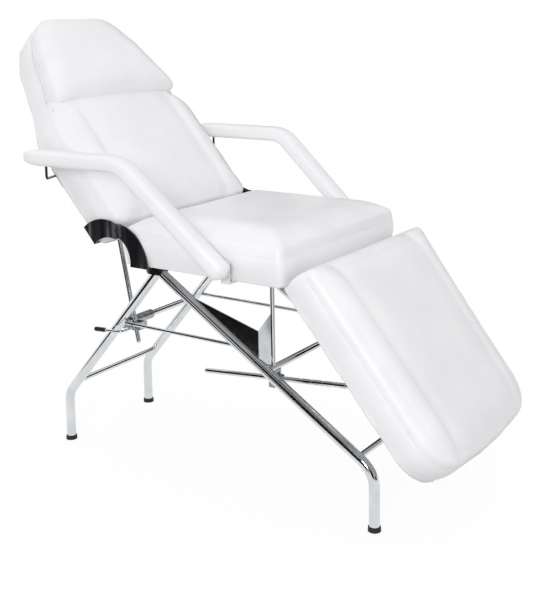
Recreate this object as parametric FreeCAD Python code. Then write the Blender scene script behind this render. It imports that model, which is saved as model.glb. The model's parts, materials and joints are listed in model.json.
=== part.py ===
import FreeCAD, Part
import math
import os

# Massage bed with three padded sections on a bent tube frame, sizes in mm.
# The bed is drawn flat along X, head end at minus X, then the two end sections are turned to rest.

V = FreeCAD.Vector
YAXIS = V(0, 1, 0)

# Padded sections
PAD_HALF = 300.0
BOARD_T = 12.0
BOARD_INSET = 15.0
BOARD_BOTTOM = 618.0
PAD_T = 86.0
PAD_CROWN = 10.0
PAD_TOP = BOARD_BOTTOM + BOARD_T + PAD_T
SEAT_REAR = -176.0
SEAT_FRONT = 335.0
SEAT_CORNER = 34.0
HINGE_CORNER = 26.0
BACK_LEN = 716.0
BACK_STRAIGHT = 330.0
NECK_LEN = 110.0
HEAD_HALF = PAD_HALF - 42.0
HEAD_SIDE_HALF = PAD_HALF - 92.0
HEAD_TOP_HALF = PAD_HALF - 160.0
SECTION_GAP = 8.0
LEG_LEN = 578.0
LEG_TAPER = 16.0
LEG_BOW = 16.0
LEG_CORNER = 115.0
LEG_END_HALF = 0.2 * PAD_HALF
LEG_END_R = 300.0
PILLOW_T = 34.0
PILLOW_LEN = 273.0
PILLOW_INSET = 6.0
PILLOW_SET_BACK = 24.0
SOFT_GAP = 0.5
CROWN_STEPS = ((0.35, 40.0), (0.7, 78.0), (1.0, 120.0))

# Rest angles of the two end sections
BACK_ANGLE = 49.0
LEG_ANGLE = 52.0
HINGE_X = -185.0
HINGE_Z = 708.0
LEG_HINGE_X = 338.0
LEG_KNUCKLE_R = 5.0
LEG_HINGE_IN = 110.0
LEG_HINGE_Z = BOARD_BOTTOM - LEG_KNUCKLE_R - 1.0

# Leg frames
LEG_R = 14.0
LEG_Y = PAD_HALF - 121.0
REAR_FOOT_X = -526.0
FRONT_FOOT_X = 526.0
REAR_BEND_Z = 147.0
FRONT_BEND_Z = 152.0
APEX_X = -163.0
APEX_Z = 566.0
FRONT_LEAD = 25.0
FRONT_TOP_Z = 590.0
APEX_BRACKET = 64.0
APEX_PLATE_T = 5.0
APEX_CHEEK_T = 3.0
APEX_BOLT_R = 5.0
LEG_BEND_R = 70.0
CAP_H = 12.0
CAP_WALL = 2.0
CAP_FLARE = 1.0
CAP_BASE = 5.0

# Cross bars and rods
LOW_BAR_R = 8.0
UPPER_BAR_R = 9.0
TIE_R = 5.0
TIE_Z = 404.0
POST_R = 6.0
POST_Y = LEG_Y - 32.0
REAR_LOW_Z = 190.0
FRONT_LOW_Z = 180.0
REAR_UP_Z = 390.0
FRONT_UP_Z = 351.0
GUSSET_T = 3.0
GUSSET_TIP_Z = 514.0
GUSSET_FOLD = 24.0
GUSSET_FOLD_Z = 456.0
GUSSET_TOP_Z = 506.0

# Hinge leaves at the backrest pivot
LEAF_T = 4.0
LEAF_GAP = 0.4
LEAF_IN = 52.0
LEAF_RISE = 74.0
LEAF_OUT = 110.0
SEAT_LEAF_SHIFT = 12.0
BACK_LEAF_SHIFT = 30.0
LEAF_FLANGE = 74.0
PIVOT_BOLT_R = 4.5
PIVOT_HEAD_R = 6.0
PIVOT_HEAD_H = 3.0
RUN_GAP = 0.05

# Stays and locks
STAY_Y = -LEG_Y + 39.0
STAY_R = 7.0
BACK_STAY_S = 120.0
BACK_STAY_H = 117.0
BACK_STAY_TAIL = 50.0
REAR_STAY_OFFSET = 32.0
LEG_STAY_S = 300.0
LEG_STAY_H = 45.0
LEG_STAY_TAIL = 230.0
GUIDE_T = 4.0
REAR_GUIDE_HALF = 26.5
FRONT_GUIDE_HALF = 17.0
PIN_R = 4.0
LEVER_R = 4.0
LEVER_Y = LEG_Y + 35.0
LEVER_DROP = 2.0
SLEEVE_R = 14.0
SLEEVE_END_Y = STAY_Y + 105.0
GRIP_R = 6.5
GRIP_LEN = 34.0

# Arms
ARM_W = 52.0
ARM_H = 42.0
ARM_EDGE_R = 16.0
ARM_END_R = 13.0
ARM_SIDE_GAP = 49.0
ARM_LOW_GAP = 17.0
ARM_Y = PAD_HALF + ARM_SIDE_GAP + ARM_W / 2.0
ARM_LOW_Y = PAD_HALF + ARM_LOW_GAP + ARM_W / 2.0
ARM_REAR_X = -452.0
ARM_Z = 904.0
ARM_ELBOW_X = -100.0
ARM_LOW_X = 203.0
ARM_LOW_Z = 640.0
ARM_BEND_R = 90.0
ARM_CORE_R = 10.0
ARM_SLANT = math.hypot(ARM_LOW_X - ARM_ELBOW_X, ARM_LOW_Z - ARM_Z)
ARM_PIVOT_BACK = 30.0 / ARM_SLANT
ARM_PIVOT_X = ARM_LOW_X - (ARM_LOW_X - ARM_ELBOW_X) * ARM_PIVOT_BACK
ARM_PIVOT_Y = ARM_LOW_Y - (ARM_LOW_Y - ARM_Y) * ARM_PIVOT_BACK
ARM_PIVOT_Z = ARM_LOW_Z - (ARM_LOW_Z - ARM_Z) * ARM_PIVOT_BACK
ARM_PIVOT_R = 6.0
ARM_EAR_HALF = 13.0
ARM_EAR_T = 4.0
ARM_WASHER = 4.0
ARM_NUT_H = 5.0
HOOK_R = 3.5
HOOK_X = -376.0
HOOK_DROP = 58.0
HOOK_CLEAR = 14.0
KEEPER_HALF = 28.0
KEEPER_DROP = 25.0
KEEPER_T = 4.0
KEEPER_S = 262.0
KEEPER_Y = PAD_HALF - 38.0
KEEPER_W = 7.0
KEEPER_FOOT = 20.0

SIDES = (("near", -1.0), ("far", 1.0))
parts = {}


def keep(name, shape):
    """Stores one finished node."""
    parts[name] = shape


def rounded_wire(points, radii):
    """Closed flat wire through the points with every corner rounded by its radius."""
    edges = []
    ends = []
    count = len(points)
    for i in range(count):
        p = points[i]
        a = (points[i - 1] - p).normalize()
        b = (points[(i + 1) % count] - p).normalize()
        half = a.getAngle(b) / 2.0
        cut = radii[i] / math.tan(half)
        mid_dir = (a + b).normalize()
        centre = p + mid_dir * (radii[i] / math.sin(half))
        ends.append((p + a * cut, centre - mid_dir * radii[i], p + b * cut))
    for i in range(count):
        start, mid, stop = ends[i]
        edges.append(Part.Arc(start, mid, stop).toShape())
        follow = ends[(i + 1) % count][0]
        if (follow - stop).Length > 1e-4:
            edges.append(Part.makeLine(stop, follow))
    return Part.Wire(edges)


def bent_path(points, radius):
    """Open wire through the points with rounded inner corners."""
    edges = []
    last = points[0]
    for i in range(1, len(points) - 1):
        p = points[i]
        a = (points[i - 1] - p).normalize()
        b = (points[i + 1] - p).normalize()
        half = a.getAngle(b) / 2.0
        cut = radius / math.tan(half)
        mid_dir = (a + b).normalize()
        centre = p + mid_dir * (radius / math.sin(half))
        edges.append(Part.makeLine(last, p + a * cut))
        edges.append(Part.Arc(p + a * cut, centre - mid_dir * radius, p + b * cut).toShape())
        last = p + b * cut
    edges.append(Part.makeLine(last, points[-1]))
    return Part.Wire(edges)


def rod(points, radius, bend):
    """Round bar swept along a bent path."""
    path = bent_path(points, bend)
    along = (points[1] - points[0]).normalize()
    ring = Part.Wire([Part.makeCircle(radius, points[0], along)])
    return path.makePipeShell([ring], True, True)


def bar_y(x, z, y0, y1, radius):
    """Round bar along Y."""
    return Part.makeCylinder(radius, y1 - y0, V(x, y0, z), YAXIS)


def box(x0, x1, y0, y1, z0, z1):
    """Block between two corners."""
    return Part.makeBox(x1 - x0, y1 - y0, z1 - z0, V(x0, y0, z0))


def turned(shape, x, z, angle):
    """Copy turned about a Y line through x, z."""
    copy = shape.copy()
    copy.rotate(V(x, 0, z), YAXIS, angle)
    return copy


def to_rest_back(shape):
    """Turns a piece drawn on the flat backrest to its rest angle."""
    return turned(shape, HINGE_X, HINGE_Z, BACK_ANGLE)


def to_rest_leg(shape):
    """Turns a piece drawn on the flat leg rest to its rest angle."""
    return turned(shape, LEG_HINGE_X, LEG_HINGE_Z, LEG_ANGLE)


def mirrored(shape):
    """Mirror image on the other side of the bed."""
    return shape.mirror(V(0, 0, 0), YAXIS)


def scaled_outline(outline, inset, z):
    """Plan outline drawn in by an inset at one height."""
    points, radii = outline
    xs = [p.x for p in points]
    ys = [p.y for p in points]
    cx = (min(xs) + max(xs)) / 2.0
    hx = (max(xs) - min(xs)) / 2.0
    hy = (max(ys) - min(ys)) / 2.0
    fx = (hx - inset) / hx
    fy = (hy - inset) / hy
    moved = [V(cx + (p.x - cx) * fx, p.y * fy, z) for p in points]
    return rounded_wire(moved, [r * min(fx, fy) for r in radii])


def cushion(outline, z0, thick, crown):
    """Padded block with drawn-in sides, a soft rim and a crowned top."""
    levels = (
        (0.0, 6.0),
        (0.08, 1.5),
        (0.30, 3.0),
        (0.50, 3.5),
        (0.70, 2.0),
        (0.80, 0.0),
        (0.88, 2.5),
        (0.95, 8.0),
        (1.0, 18.0),
    )
    wires = [scaled_outline(outline, inset, z0 + thick * f) for f, inset in levels]
    for share, inset in CROWN_STEPS:
        wires.append(scaled_outline(outline, inset, z0 + thick + crown * share))
    return Part.makeLoft(wires, True, True)


def board(outline):
    """Plywood board under a cushion."""
    wire = scaled_outline(outline, BOARD_INSET, BOARD_BOTTOM)
    return Part.Face(wire).extrude(V(0, 0, BOARD_T))


def wrapped(outline):
    """Cushion whose skirt is drawn down round the edge of its board."""
    return cushion(outline, BOARD_BOTTOM, BOARD_T + PAD_T, PAD_CROWN).cut(board(outline))


def rect_outline(x0, x1, half, r0, r1):
    """Rounded rectangle in plan with one radius at each end."""
    points = [V(x0, -half, 0), V(x1, -half, 0), V(x1, half, 0), V(x0, half, 0)]
    return points, [r0, r1, r1, r0]


def head_outline():
    """Backrest plan: full width to the shoulders, then the narrower head end."""
    x0 = HINGE_X - SECTION_GAP
    shoulder = x0 - BACK_STRAIGHT
    neck = shoulder - NECK_LEN
    crown_x = x0 - BACK_LEN
    low = [
        V(x0, -PAD_HALF, 0),
        V(shoulder, -PAD_HALF, 0),
        V(neck, -HEAD_HALF, 0),
        V(crown_x + NECK_LEN, -HEAD_SIDE_HALF, 0),
        V(crown_x, -HEAD_TOP_HALF, 0),
    ]
    high = [V(p.x, -p.y, 0) for p in reversed(low)]
    radii = [30.0, 90.0, 90.0, 70.0, 60.0]
    return low + high, radii + list(reversed(radii))


def pillow_outline():
    """Head pillow plan, a little inside the head end."""
    end = HINGE_X - SECTION_GAP - BACK_LEN + PILLOW_SET_BACK
    start = end + PILLOW_LEN
    low = [
        V(start, -HEAD_HALF + PILLOW_INSET, 0),
        V(end + NECK_LEN - PILLOW_SET_BACK, -HEAD_SIDE_HALF + PILLOW_INSET, 0),
        V(end, -HEAD_TOP_HALF + PILLOW_INSET, 0),
    ]
    high = [V(p.x, -p.y, 0) for p in reversed(low)]
    radii = [40.0, 70.0, 50.0]
    return low + high, radii + list(reversed(radii))


LEGS = {
    "rear": (REAR_FOOT_X, REAR_BEND_Z, APEX_X),
    "front": (FRONT_FOOT_X, FRONT_BEND_Z, APEX_X + FRONT_LEAD),
}


def leg_outline():
    """Leg rest plan: tapered sides and a rounded foot end."""
    x0 = LEG_HINGE_X + SECTION_GAP / 2.0
    x1 = x0 + LEG_LEN
    low = [
        V(x0, -PAD_HALF, 0),
        V(x1 - LEG_BOW, -PAD_HALF + LEG_TAPER, 0),
        V(x1, -LEG_END_HALF, 0),
    ]
    high = [V(p.x, -p.y, 0) for p in reversed(low)]
    radii = [HINGE_CORNER, LEG_CORNER, LEG_END_R]
    return low + high, radii + list(reversed(radii))


def leg_axis_x(end, z):
    """X of a leg's slanted axis at a height."""
    foot_x, bend_z, top_x = LEGS[end]
    return foot_x + (top_x - foot_x) * (z - bend_z) / (APEX_Z - bend_z)


def build_legs():
    """Four bent legs and their foot caps; each rear leg is coped to its front leg."""
    caps = []
    for side, sign in SIDES:
        for end, top_z in (("front", FRONT_TOP_Z), ("rear", APEX_Z + LEG_R / 2.0)):
            foot_x, bend_z, _ = LEGS[end]
            foot = V(foot_x, sign * LEG_Y, CAP_BASE)
            bend = V(foot_x, sign * LEG_Y, bend_z)
            top = V(leg_axis_x(end, top_z), sign * LEG_Y, top_z)
            leg = rod([foot, bend, top], LEG_R, LEG_BEND_R)
            if end == "rear":
                leg = leg.cut(parts["leg_front_%s" % side])
            keep("leg_%s_%s" % (end, side), leg)
            wide = LEG_R + CAP_WALL
            shell = Part.makeCone(wide + CAP_FLARE, wide, CAP_H, V(foot_x, sign * LEG_Y, 0))
            hole = Part.makeCylinder(LEG_R, CAP_H, V(foot_x, sign * LEG_Y, CAP_BASE))
            caps.append(shell.cut(hole))
    keep("foot_caps", Part.makeCompound(caps))


def build_apex():
    """Black brackets that clasp the leg tops under the seat, with their bolts."""
    bolts = []
    bolt_z = FRONT_TOP_Z - LEG_R * 0.7
    bolt_x = leg_axis_x("front", bolt_z)
    mid = bolt_x
    low = bolt_z - LEG_R
    under = BOARD_BOTTOM - APEX_PLATE_T
    half = APEX_BRACKET / 2.0
    for side, sign in SIDES:
        y = sign * LEG_Y
        cheeks = []
        outline = [
            V(mid - half * 0.7, 0, low),
            V(mid + half * 0.8, 0, low),
            V(mid + half, 0, under),
            V(mid - half, 0, under),
        ]
        wire = rounded_wire(outline, [10.0, 10.0, 4.0, 4.0])
        for start in (y - LEG_R - APEX_CHEEK_T, y + LEG_R):
            face = Part.Face(wire)
            face.translate(V(0, start, 0))
            cheeks.append(face.extrude(V(0, APEX_CHEEK_T, 0)))
        reach = LEG_R + APEX_CHEEK_T
        plate = box(mid - half, mid + half, y - reach - 11.0, y + reach + 11.0, under, BOARD_BOTTOM)
        hole = bar_y(bolt_x, bolt_z, y - reach - 8.0, y + reach + 8.0, APEX_BOLT_R)
        keep("apex_bracket_%s" % side, plate.fuse(cheeks).removeSplitter().cut(hole))
        for end in LEGS:
            name = "leg_%s_%s" % (end, side)
            parts[name] = parts[name].cut(hole)
        head = APEX_BOLT_R + 4.0
        shaft = bar_y(bolt_x, bolt_z, y - reach - 5.0, y + reach + 5.0, APEX_BOLT_R)
        ends = [
            bar_y(bolt_x, bolt_z, y - reach - 5.0, y - reach, head),
            bar_y(bolt_x, bolt_z, y + reach, y + reach + 5.0, head),
        ]
        bolts.append(shaft.fuse(ends).removeSplitter())
    keep("apex_bolts", Part.makeCompound(bolts))


def build_bars():
    """Cross bars coped to the legs, tie rods and seat posts."""
    legs = Part.makeCompound([parts[n] for n in parts if n.startswith("leg_")])
    spots = (
        ("bar_rear_low", REAR_LOW_Z, "rear", LOW_BAR_R),
        ("bar_front_low", FRONT_LOW_Z, "front", LOW_BAR_R),
        ("bar_rear_upper", REAR_UP_Z, "rear", UPPER_BAR_R),
        ("bar_front_upper", FRONT_UP_Z, "front", UPPER_BAR_R),
    )
    for name, z, end, radius in spots:
        keep(name, bar_y(leg_axis_x(end, z), z, -LEG_Y, LEG_Y, radius).cut(legs))
    px = leg_axis_x("front", FRONT_UP_Z)
    for side, sign in SIDES:
        x0 = leg_axis_x("rear", TIE_Z)
        x1 = leg_axis_x("front", TIE_Z)
        tie = Part.makeCylinder(TIE_R, x1 - x0, V(x0, sign * LEG_Y, TIE_Z), V(1, 0, 0))
        keep("tie_rod_%s" % side, tie.cut(legs))
        y = sign * POST_Y
        post = Part.makeCylinder(POST_R, BOARD_BOTTOM - FRONT_UP_Z, V(px, y, FRONT_UP_Z), V(0, 0, 1))
        pad = Part.makeCylinder(POST_R + 12.0, 3.0, V(px, y, BOARD_BOTTOM - 3.0), V(0, 0, 1))
        keep("seat_post_%s" % side, post.fuse(pad).removeSplitter().cut(parts["bar_front_upper"]))


def build_gussets():
    """Plates on the front legs, folded inwards to the seat posts."""
    px = leg_axis_x("front", FRONT_UP_Z)
    fold = px - GUSSET_FOLD
    tip = leg_axis_x("front", GUSSET_TIP_Z)
    for side, sign in SIDES:
        y = sign * LEG_Y
        flat = [
            V(tip, y, GUSSET_TIP_Z),
            V(tip + LEG_R * 2.0, y, GUSSET_TIP_Z),
            V(fold, y, GUSSET_FOLD_Z),
            V(fold, y, FRONT_UP_Z + UPPER_BAR_R),
        ]
        web = Part.Face(Part.makePolygon(flat + [flat[0]])).extrude(V(0, GUSSET_T, 0))
        web.translate(V(0, -GUSSET_T / 2.0, 0))
        inner = sign * POST_Y
        wing_points = [
            V(fold, y, GUSSET_FOLD_Z),
            V(px, inner, GUSSET_TOP_Z),
            V(px, inner, FRONT_UP_Z),
            V(fold, y, FRONT_UP_Z),
        ]
        across = (wing_points[1] - wing_points[0]).cross(V(0, 0, 1)).normalize() * (GUSSET_T / 2.0)
        wing = Part.Face(Part.makePolygon(wing_points + [wing_points[0]]))
        wing.translate(across * -1.0)
        wing = wing.extrude(across * 2.0)
        plate = web.fuse(wing).removeSplitter()
        for name in ("leg_front_%s", "tie_rod_%s", "seat_post_%s"):
            plate = plate.cut(parts[name % side])
        plate = plate.cut(parts["bar_front_upper"])
        keep("gusset_%s" % side, max(plate.Solids, key=lambda item: item.Volume))


def leaf_profile(flip, cx):
    """Quarter arch of a hinge leaf in the XZ plane, seat side or mirrored to the back side."""
    cz = BOARD_BOTTOM
    end = math.degrees(math.atan2(HINGE_Z - cz, HINGE_X - cx))

    def at(radius, rise, angle):
        a = math.radians(angle)
        x = cx + radius * math.cos(a)
        return V(2.0 * HINGE_X - x if flip else x, 0, cz + rise * math.sin(a))

    outer = [at(LEAF_OUT, LEAF_OUT, end * k / 2.0) for k in range(3)]
    inner = [at(LEAF_IN, LEAF_RISE, end * k / 2.0) for k in range(3)]
    edges = [
        Part.makeLine(inner[0], outer[0]),
        Part.Arc(outer[0], outer[1], outer[2]).toShape(),
        Part.makeLine(outer[2], inner[2]),
        Part.Arc(inner[2], inner[1], inner[0]).toShape(),
    ]
    return Part.Face(Part.Wire(edges))


def hinge_leaf(flip, y_out):
    """One hinge leaf: arch web, round eye at the pivot and a flange under the board."""
    cx = HINGE_X - (BACK_LEAF_SHIFT if flip else SEAT_LEAF_SHIFT)
    web = leaf_profile(flip, cx).extrude(V(0, LEAF_T, 0))
    eye = Part.makeCylinder((LEAF_OUT - LEAF_RISE) / 2.0 + 2.0, LEAF_T, V(HINGE_X, 0, HINGE_Z), YAXIS)
    web = web.fuse(eye)
    web.translate(V(0, -y_out, 0))
    x0, x1 = cx + LEAF_IN, cx + LEAF_OUT
    if flip:
        x0, x1 = 2.0 * HINGE_X - x1, 2.0 * HINGE_X - x0
    flange = box(x0, x1, -y_out, -y_out + LEAF_FLANGE, BOARD_BOTTOM - LEAF_T, BOARD_BOTTOM)
    hole = bar_y(HINGE_X, HINGE_Z, -y_out - 5, -y_out + 12, PIVOT_BOLT_R + RUN_GAP)
    leaf = web.fuse(flange).removeSplitter().cut(hole)
    return leaf, (x0 + x1) / 2.0


def screw(x, y, z):
    """Pan head screw seen under a flange."""
    head = Part.makeSphere(7.0, V(x, y, z + 3.2))
    return head.common(box(x - 8, x + 8, y - 8, y + 8, z - 4, z))


def build_hinges():
    """Backrest hinge leaves, their bolts and screws."""
    seat_y = PAD_HALF + LEAF_T + 1.0
    back_y = seat_y + LEAF_T + LEAF_GAP
    screws_seat = []
    screws_back = []
    bolts = []
    for side, sign in SIDES:
        seat_leaf, sx = hinge_leaf(False, seat_y)
        back_leaf, bx = hinge_leaf(True, back_y)
        inner = seat_y - LEAF_T
        outer = back_y + LEAF_GAP
        shaft = bar_y(HINGE_X, HINGE_Z, -outer - PIVOT_HEAD_H, -inner + LEAF_GAP, PIVOT_BOLT_R)
        head = bar_y(HINGE_X, HINGE_Z, -outer - PIVOT_HEAD_H, -outer, PIVOT_HEAD_R)
        rim = [e for e in head.Edges if e.BoundBox.YMax < -outer - PIVOT_HEAD_H / 2.0]
        bolt = shaft.fuse(head.makeFillet(PIVOT_HEAD_H * 0.6, rim[:1])).removeSplitter()
        seat_screws = [screw(sx + d, -PAD_HALF + 28.0, BOARD_BOTTOM - LEAF_T) for d in (-14.0, 14.0)]
        back_screws = [screw(bx + d, -PAD_HALF + 28.0, BOARD_BOTTOM - LEAF_T) for d in (-14.0, 14.0)]
        group = (seat_leaf, back_leaf, bolt)
        if sign > 0:
            group = tuple(mirrored(s) for s in group)
            seat_screws = [mirrored(s) for s in seat_screws]
            back_screws = [mirrored(s) for s in back_screws]
        keep("seat_leaf_%s" % side, group[0])
        keep("back_leaf_%s" % side, to_rest_back(group[1]))
        bolts.append(group[2])
        screws_seat.extend(seat_screws)
        screws_back.extend(to_rest_back(s) for s in back_screws)
    keep("hinge_bolts", Part.makeCompound(bolts))
    keep("seat_leaf_screws", Part.makeCompound(screws_seat))
    keep("back_leaf_screws", Part.makeCompound(screws_back))


def build_sections():
    """Boards, cushions and the head pillow of the three sections."""
    seat = rect_outline(SEAT_REAR, SEAT_FRONT, PAD_HALF, HINGE_CORNER, SEAT_CORNER)
    keep("seat_board", board(seat))
    keep("seat_cushion", wrapped(seat))
    back = head_outline()
    keep("back_board", to_rest_back(board(back)))
    keep("back_cushion", to_rest_back(wrapped(back)))
    pillow_z = PAD_TOP + PAD_CROWN + SOFT_GAP
    pillow = cushion(pillow_outline(), pillow_z, PILLOW_T, 6.0)
    keep("head_pillow", to_rest_back(pillow))
    leg = leg_outline()
    keep("leg_board", to_rest_leg(board(leg)))
    keep("leg_cushion", to_rest_leg(wrapped(leg)))


def build_leg_hinges():
    """Two butt hinges between the seat board and the leg rest board."""
    seat_knuckles = []
    leg_knuckles = []
    pins = []
    z1 = BOARD_BOTTOM
    for sign in (-1.0, 1.0):
        y = sign * (PAD_HALF - LEG_HINGE_IN)
        runs = (
            (-40.0, -14.0, seat_knuckles, -1),
            (-13.7, 13.7, leg_knuckles, 1),
            (14.0, 40.0, seat_knuckles, -1),
        )
        for y0, y1, target, sx in runs:
            barrel = bar_y(LEG_HINGE_X, LEG_HINGE_Z, y + y0, y + y1, LEG_KNUCKLE_R)
            reach = LEG_HINGE_X + sx * 46.0
            low, high = min(LEG_HINGE_X, reach), max(LEG_HINGE_X, reach)
            leaf = box(low, high, y + y0, y + y1, z1 - 3.0, z1)
            near, far = sorted((LEG_HINGE_X, LEG_HINGE_X + sx * 4.0))
            lug = box(near, far, y + y0, y + y1, LEG_HINGE_Z, z1)
            bore = bar_y(LEG_HINGE_X, LEG_HINGE_Z, y + y0 - 1, y + y1 + 1, 2.5 + RUN_GAP)
            knuckle = barrel.fuse([leaf, lug]).removeSplitter().cut(bore)
            target.append(to_rest_leg(knuckle) if sx > 0 else knuckle)
        pins.append(bar_y(LEG_HINGE_X, LEG_HINGE_Z, y - 42, y + 42, 2.5))
    keep("leg_hinge_seat", Part.makeCompound(seat_knuckles))
    keep("leg_hinge_leg", Part.makeCompound(leg_knuckles))
    keep("leg_hinge_pins", Part.makeCompound(pins))


def stay_bracket(x, drop):
    """Small fork under a board with the hole line for a stay pin."""
    plate = box(x - 26, x + 26, STAY_Y - 30, STAY_Y + 30, BOARD_BOTTOM - 3, BOARD_BOTTOM)
    cheeks = []
    for y in (STAY_Y - STAY_R - 4.5, STAY_Y + STAY_R + 1.5):
        outline = [
            V(x - 20, y, BOARD_BOTTOM - 3),
            V(x + 20, y, BOARD_BOTTOM - 3),
            V(x + 9, y, BOARD_BOTTOM - drop - 9),
            V(x - 9, y, BOARD_BOTTOM - drop - 9),
        ]
        cheeks.append(Part.Face(rounded_wire(outline, [2.0, 2.0, 7.0, 7.0])).extrude(V(0, 3.0, 0)))
    pin_hole = bar_y(x, BOARD_BOTTOM - drop, STAY_Y - 20, STAY_Y + 20, PIN_R)
    return plate.fuse(cheeks).removeSplitter().cut(pin_hole)


def stay_pin(x, drop):
    """Pin through a stay bracket with two heads."""
    z = BOARD_BOTTOM - drop
    half = STAY_R + 4.5
    shaft = bar_y(x, z, STAY_Y - half - 4, STAY_Y + half + 4, PIN_R)
    heads = [bar_y(x, z, STAY_Y - half - 4, STAY_Y - half, 6.5), bar_y(x, z, STAY_Y + half, STAY_Y + half + 4, 6.5)]
    return shaft.fuse(heads).removeSplitter()


def stay_rod(top, toward, tail):
    """Round stay from its pin eye through the lock to the free end."""
    along = (toward - top).normalize()
    length = (toward - top).Length + tail
    body = Part.makeCylinder(STAY_R, length, top, along)
    eye = bar_y(top.x, top.z, STAY_Y - STAY_R, STAY_Y + STAY_R, STAY_R + 3.0)
    tip = Part.makeSphere(STAY_R, top + along * length)
    hole = bar_y(top.x, top.z, STAY_Y - 20, STAY_Y + 20, PIN_R + RUN_GAP)
    return body.fuse([eye, tip]).removeSplitter().cut(hole)


def notched(stay, top, toward, count, first, pitch):
    """Cuts shallow stop grooves round a stay."""
    along = (toward - top).normalize()
    for i in range(count):
        at = top + along * (first + i * pitch)
        ring = Part.makeCylinder(STAY_R + 2, 5.0, at, along).cut(Part.makeCylinder(STAY_R - 1.6, 5.0, at, along))
        stay = stay.cut(ring)
    return stay


def rear_lock_x():
    """X of the backrest stay where it passes the rear cross tube."""
    return leg_axis_x("rear", REAR_UP_Z) + REAR_STAY_OFFSET


def build_back_stay():
    """Backrest stay, its bracket and pin, the rear lock and the release lever."""
    bx = HINGE_X - BACK_STAY_S
    drop = BACK_STAY_H - (HINGE_Z - BOARD_BOTTOM)
    keep("back_stay_bracket", to_rest_back(stay_bracket(bx, drop)))
    keep("back_stay_pin", to_rest_back(stay_pin(bx, drop)))
    pivot = V(HINGE_X, STAY_Y, HINGE_Z)
    top = V(bx, STAY_Y, HINGE_Z - BACK_STAY_H)
    top = pivot + FreeCAD.Rotation(YAXIS, BACK_ANGLE).multVec(top - pivot)
    x = rear_lock_x()
    z = REAR_UP_Z
    keep("back_stay", stay_rod(top, V(x, STAY_Y, z), BACK_STAY_TAIL))
    half = STAY_R + 5.0
    wide = REAR_GUIDE_HALF + GUIDE_T
    deep = half + GUIDE_T
    base = z - LEVER_DROP - 8.0
    outer = box(x - wide, x + wide, STAY_Y - deep, STAY_Y + deep, base, z + 11.0)
    inner = box(x - REAR_GUIDE_HALF, x + REAR_GUIDE_HALF, STAY_Y - half, STAY_Y + half, base - 1.0, z + 12.0)
    face = STAY_Y - half - GUIDE_T
    lever_x = x + 12.0
    lever_z = z - LEVER_DROP
    sleeve = bar_y(leg_axis_x("rear", z), z, STAY_Y - deep, SLEEVE_END_Y, SLEEVE_R)
    sleeve = sleeve.cut(box(x - REAR_GUIDE_HALF, x + wide, STAY_Y - half, STAY_Y + half, base, z + 2.0 * SLEEVE_R))
    boss = bar_y(lever_x, lever_z, face - 10.0, face, LEVER_R + 4.0)
    bore = bar_y(lever_x, lever_z, face - 11.0, face + GUIDE_T + 1.0, LEVER_R + RUN_GAP)
    lock = outer.fuse(sleeve).cut(inner).fuse(boss).removeSplitter().cut(bore)
    keep("rear_lock", lock.cut(parts["bar_rear_upper"]))
    tip = V(lever_x - 92.0, -LEVER_Y, lever_z - 6.0)
    lever = rod([V(lever_x, face + GUIDE_T, lever_z), V(lever_x, -LEVER_Y, lever_z), tip], LEVER_R, 14.0)
    along = (tip - V(lever_x, -LEVER_Y, lever_z)).normalize()
    grip = Part.makeCylinder(GRIP_R, GRIP_LEN, tip - along * (GRIP_LEN - 6.0), along)
    end = Part.makeSphere(GRIP_R, tip + along * 6.0)
    keep("lever_grip", grip.fuse(end).removeSplitter().cut(lever))
    keep("release_lever", lever)


def build_leg_stay():
    """Leg rest stay, its bracket and pin, the front lock and its wing screw."""
    lx = LEG_HINGE_X + LEG_STAY_S
    drop = BOARD_BOTTOM - LEG_HINGE_Z + LEG_STAY_H
    keep("leg_stay_bracket", to_rest_leg(stay_bracket(lx, drop)))
    keep("leg_stay_pin", to_rest_leg(stay_pin(lx, drop)))
    pivot = V(LEG_HINGE_X, STAY_Y, LEG_HINGE_Z)
    top = V(lx, STAY_Y, LEG_HINGE_Z - LEG_STAY_H)
    top = pivot + FreeCAD.Rotation(YAXIS, LEG_ANGLE).multVec(top - pivot)
    x = leg_axis_x("front", FRONT_UP_Z)
    z = FRONT_UP_Z - UPPER_BAR_R - FRONT_GUIDE_HALF - GUIDE_T
    aim = V(x, STAY_Y, z)
    stay = stay_rod(top, aim, LEG_STAY_TAIL)
    keep("leg_stay", notched(stay, top, aim, 5, 60.0, 34.0))
    half = STAY_R + 5.0
    tall = FRONT_GUIDE_HALF + GUIDE_T
    outer = box(x - 9, x + 9, STAY_Y - half - GUIDE_T, STAY_Y + half + GUIDE_T, z - tall, z + tall + 4.0)
    inner = box(x - 10, x + 10, STAY_Y - half, STAY_Y + half, z - FRONT_GUIDE_HALF, z + FRONT_GUIDE_HALF)
    lock = outer.cut(inner)
    face = STAY_Y + half + GUIDE_T
    screw_hole = bar_y(x, z, face - GUIDE_T - 1.0, face + 1.0, 3.0)
    keep("front_lock", lock.cut(screw_hole).cut(parts["bar_front_upper"]))
    shaft = bar_y(x, z, face - GUIDE_T, face + 16.0, 3.0)
    collar = bar_y(x, z, face, face + 5.0, 6.0)
    wing = box(x - 15, x + 15, face + 5.0, face + 8.0, z - 5, z + 5)
    keep("lock_screw", shaft.fuse([collar, wing]).removeSplitter())


def arm_points():
    """Corner points of the near arm's bent centre line, which leans in to the seat at its low end."""
    return [V(ARM_REAR_X, -ARM_Y, ARM_Z), V(ARM_ELBOW_X, -ARM_Y, ARM_Z), V(ARM_LOW_X, -ARM_LOW_Y, ARM_LOW_Z)]


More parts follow.
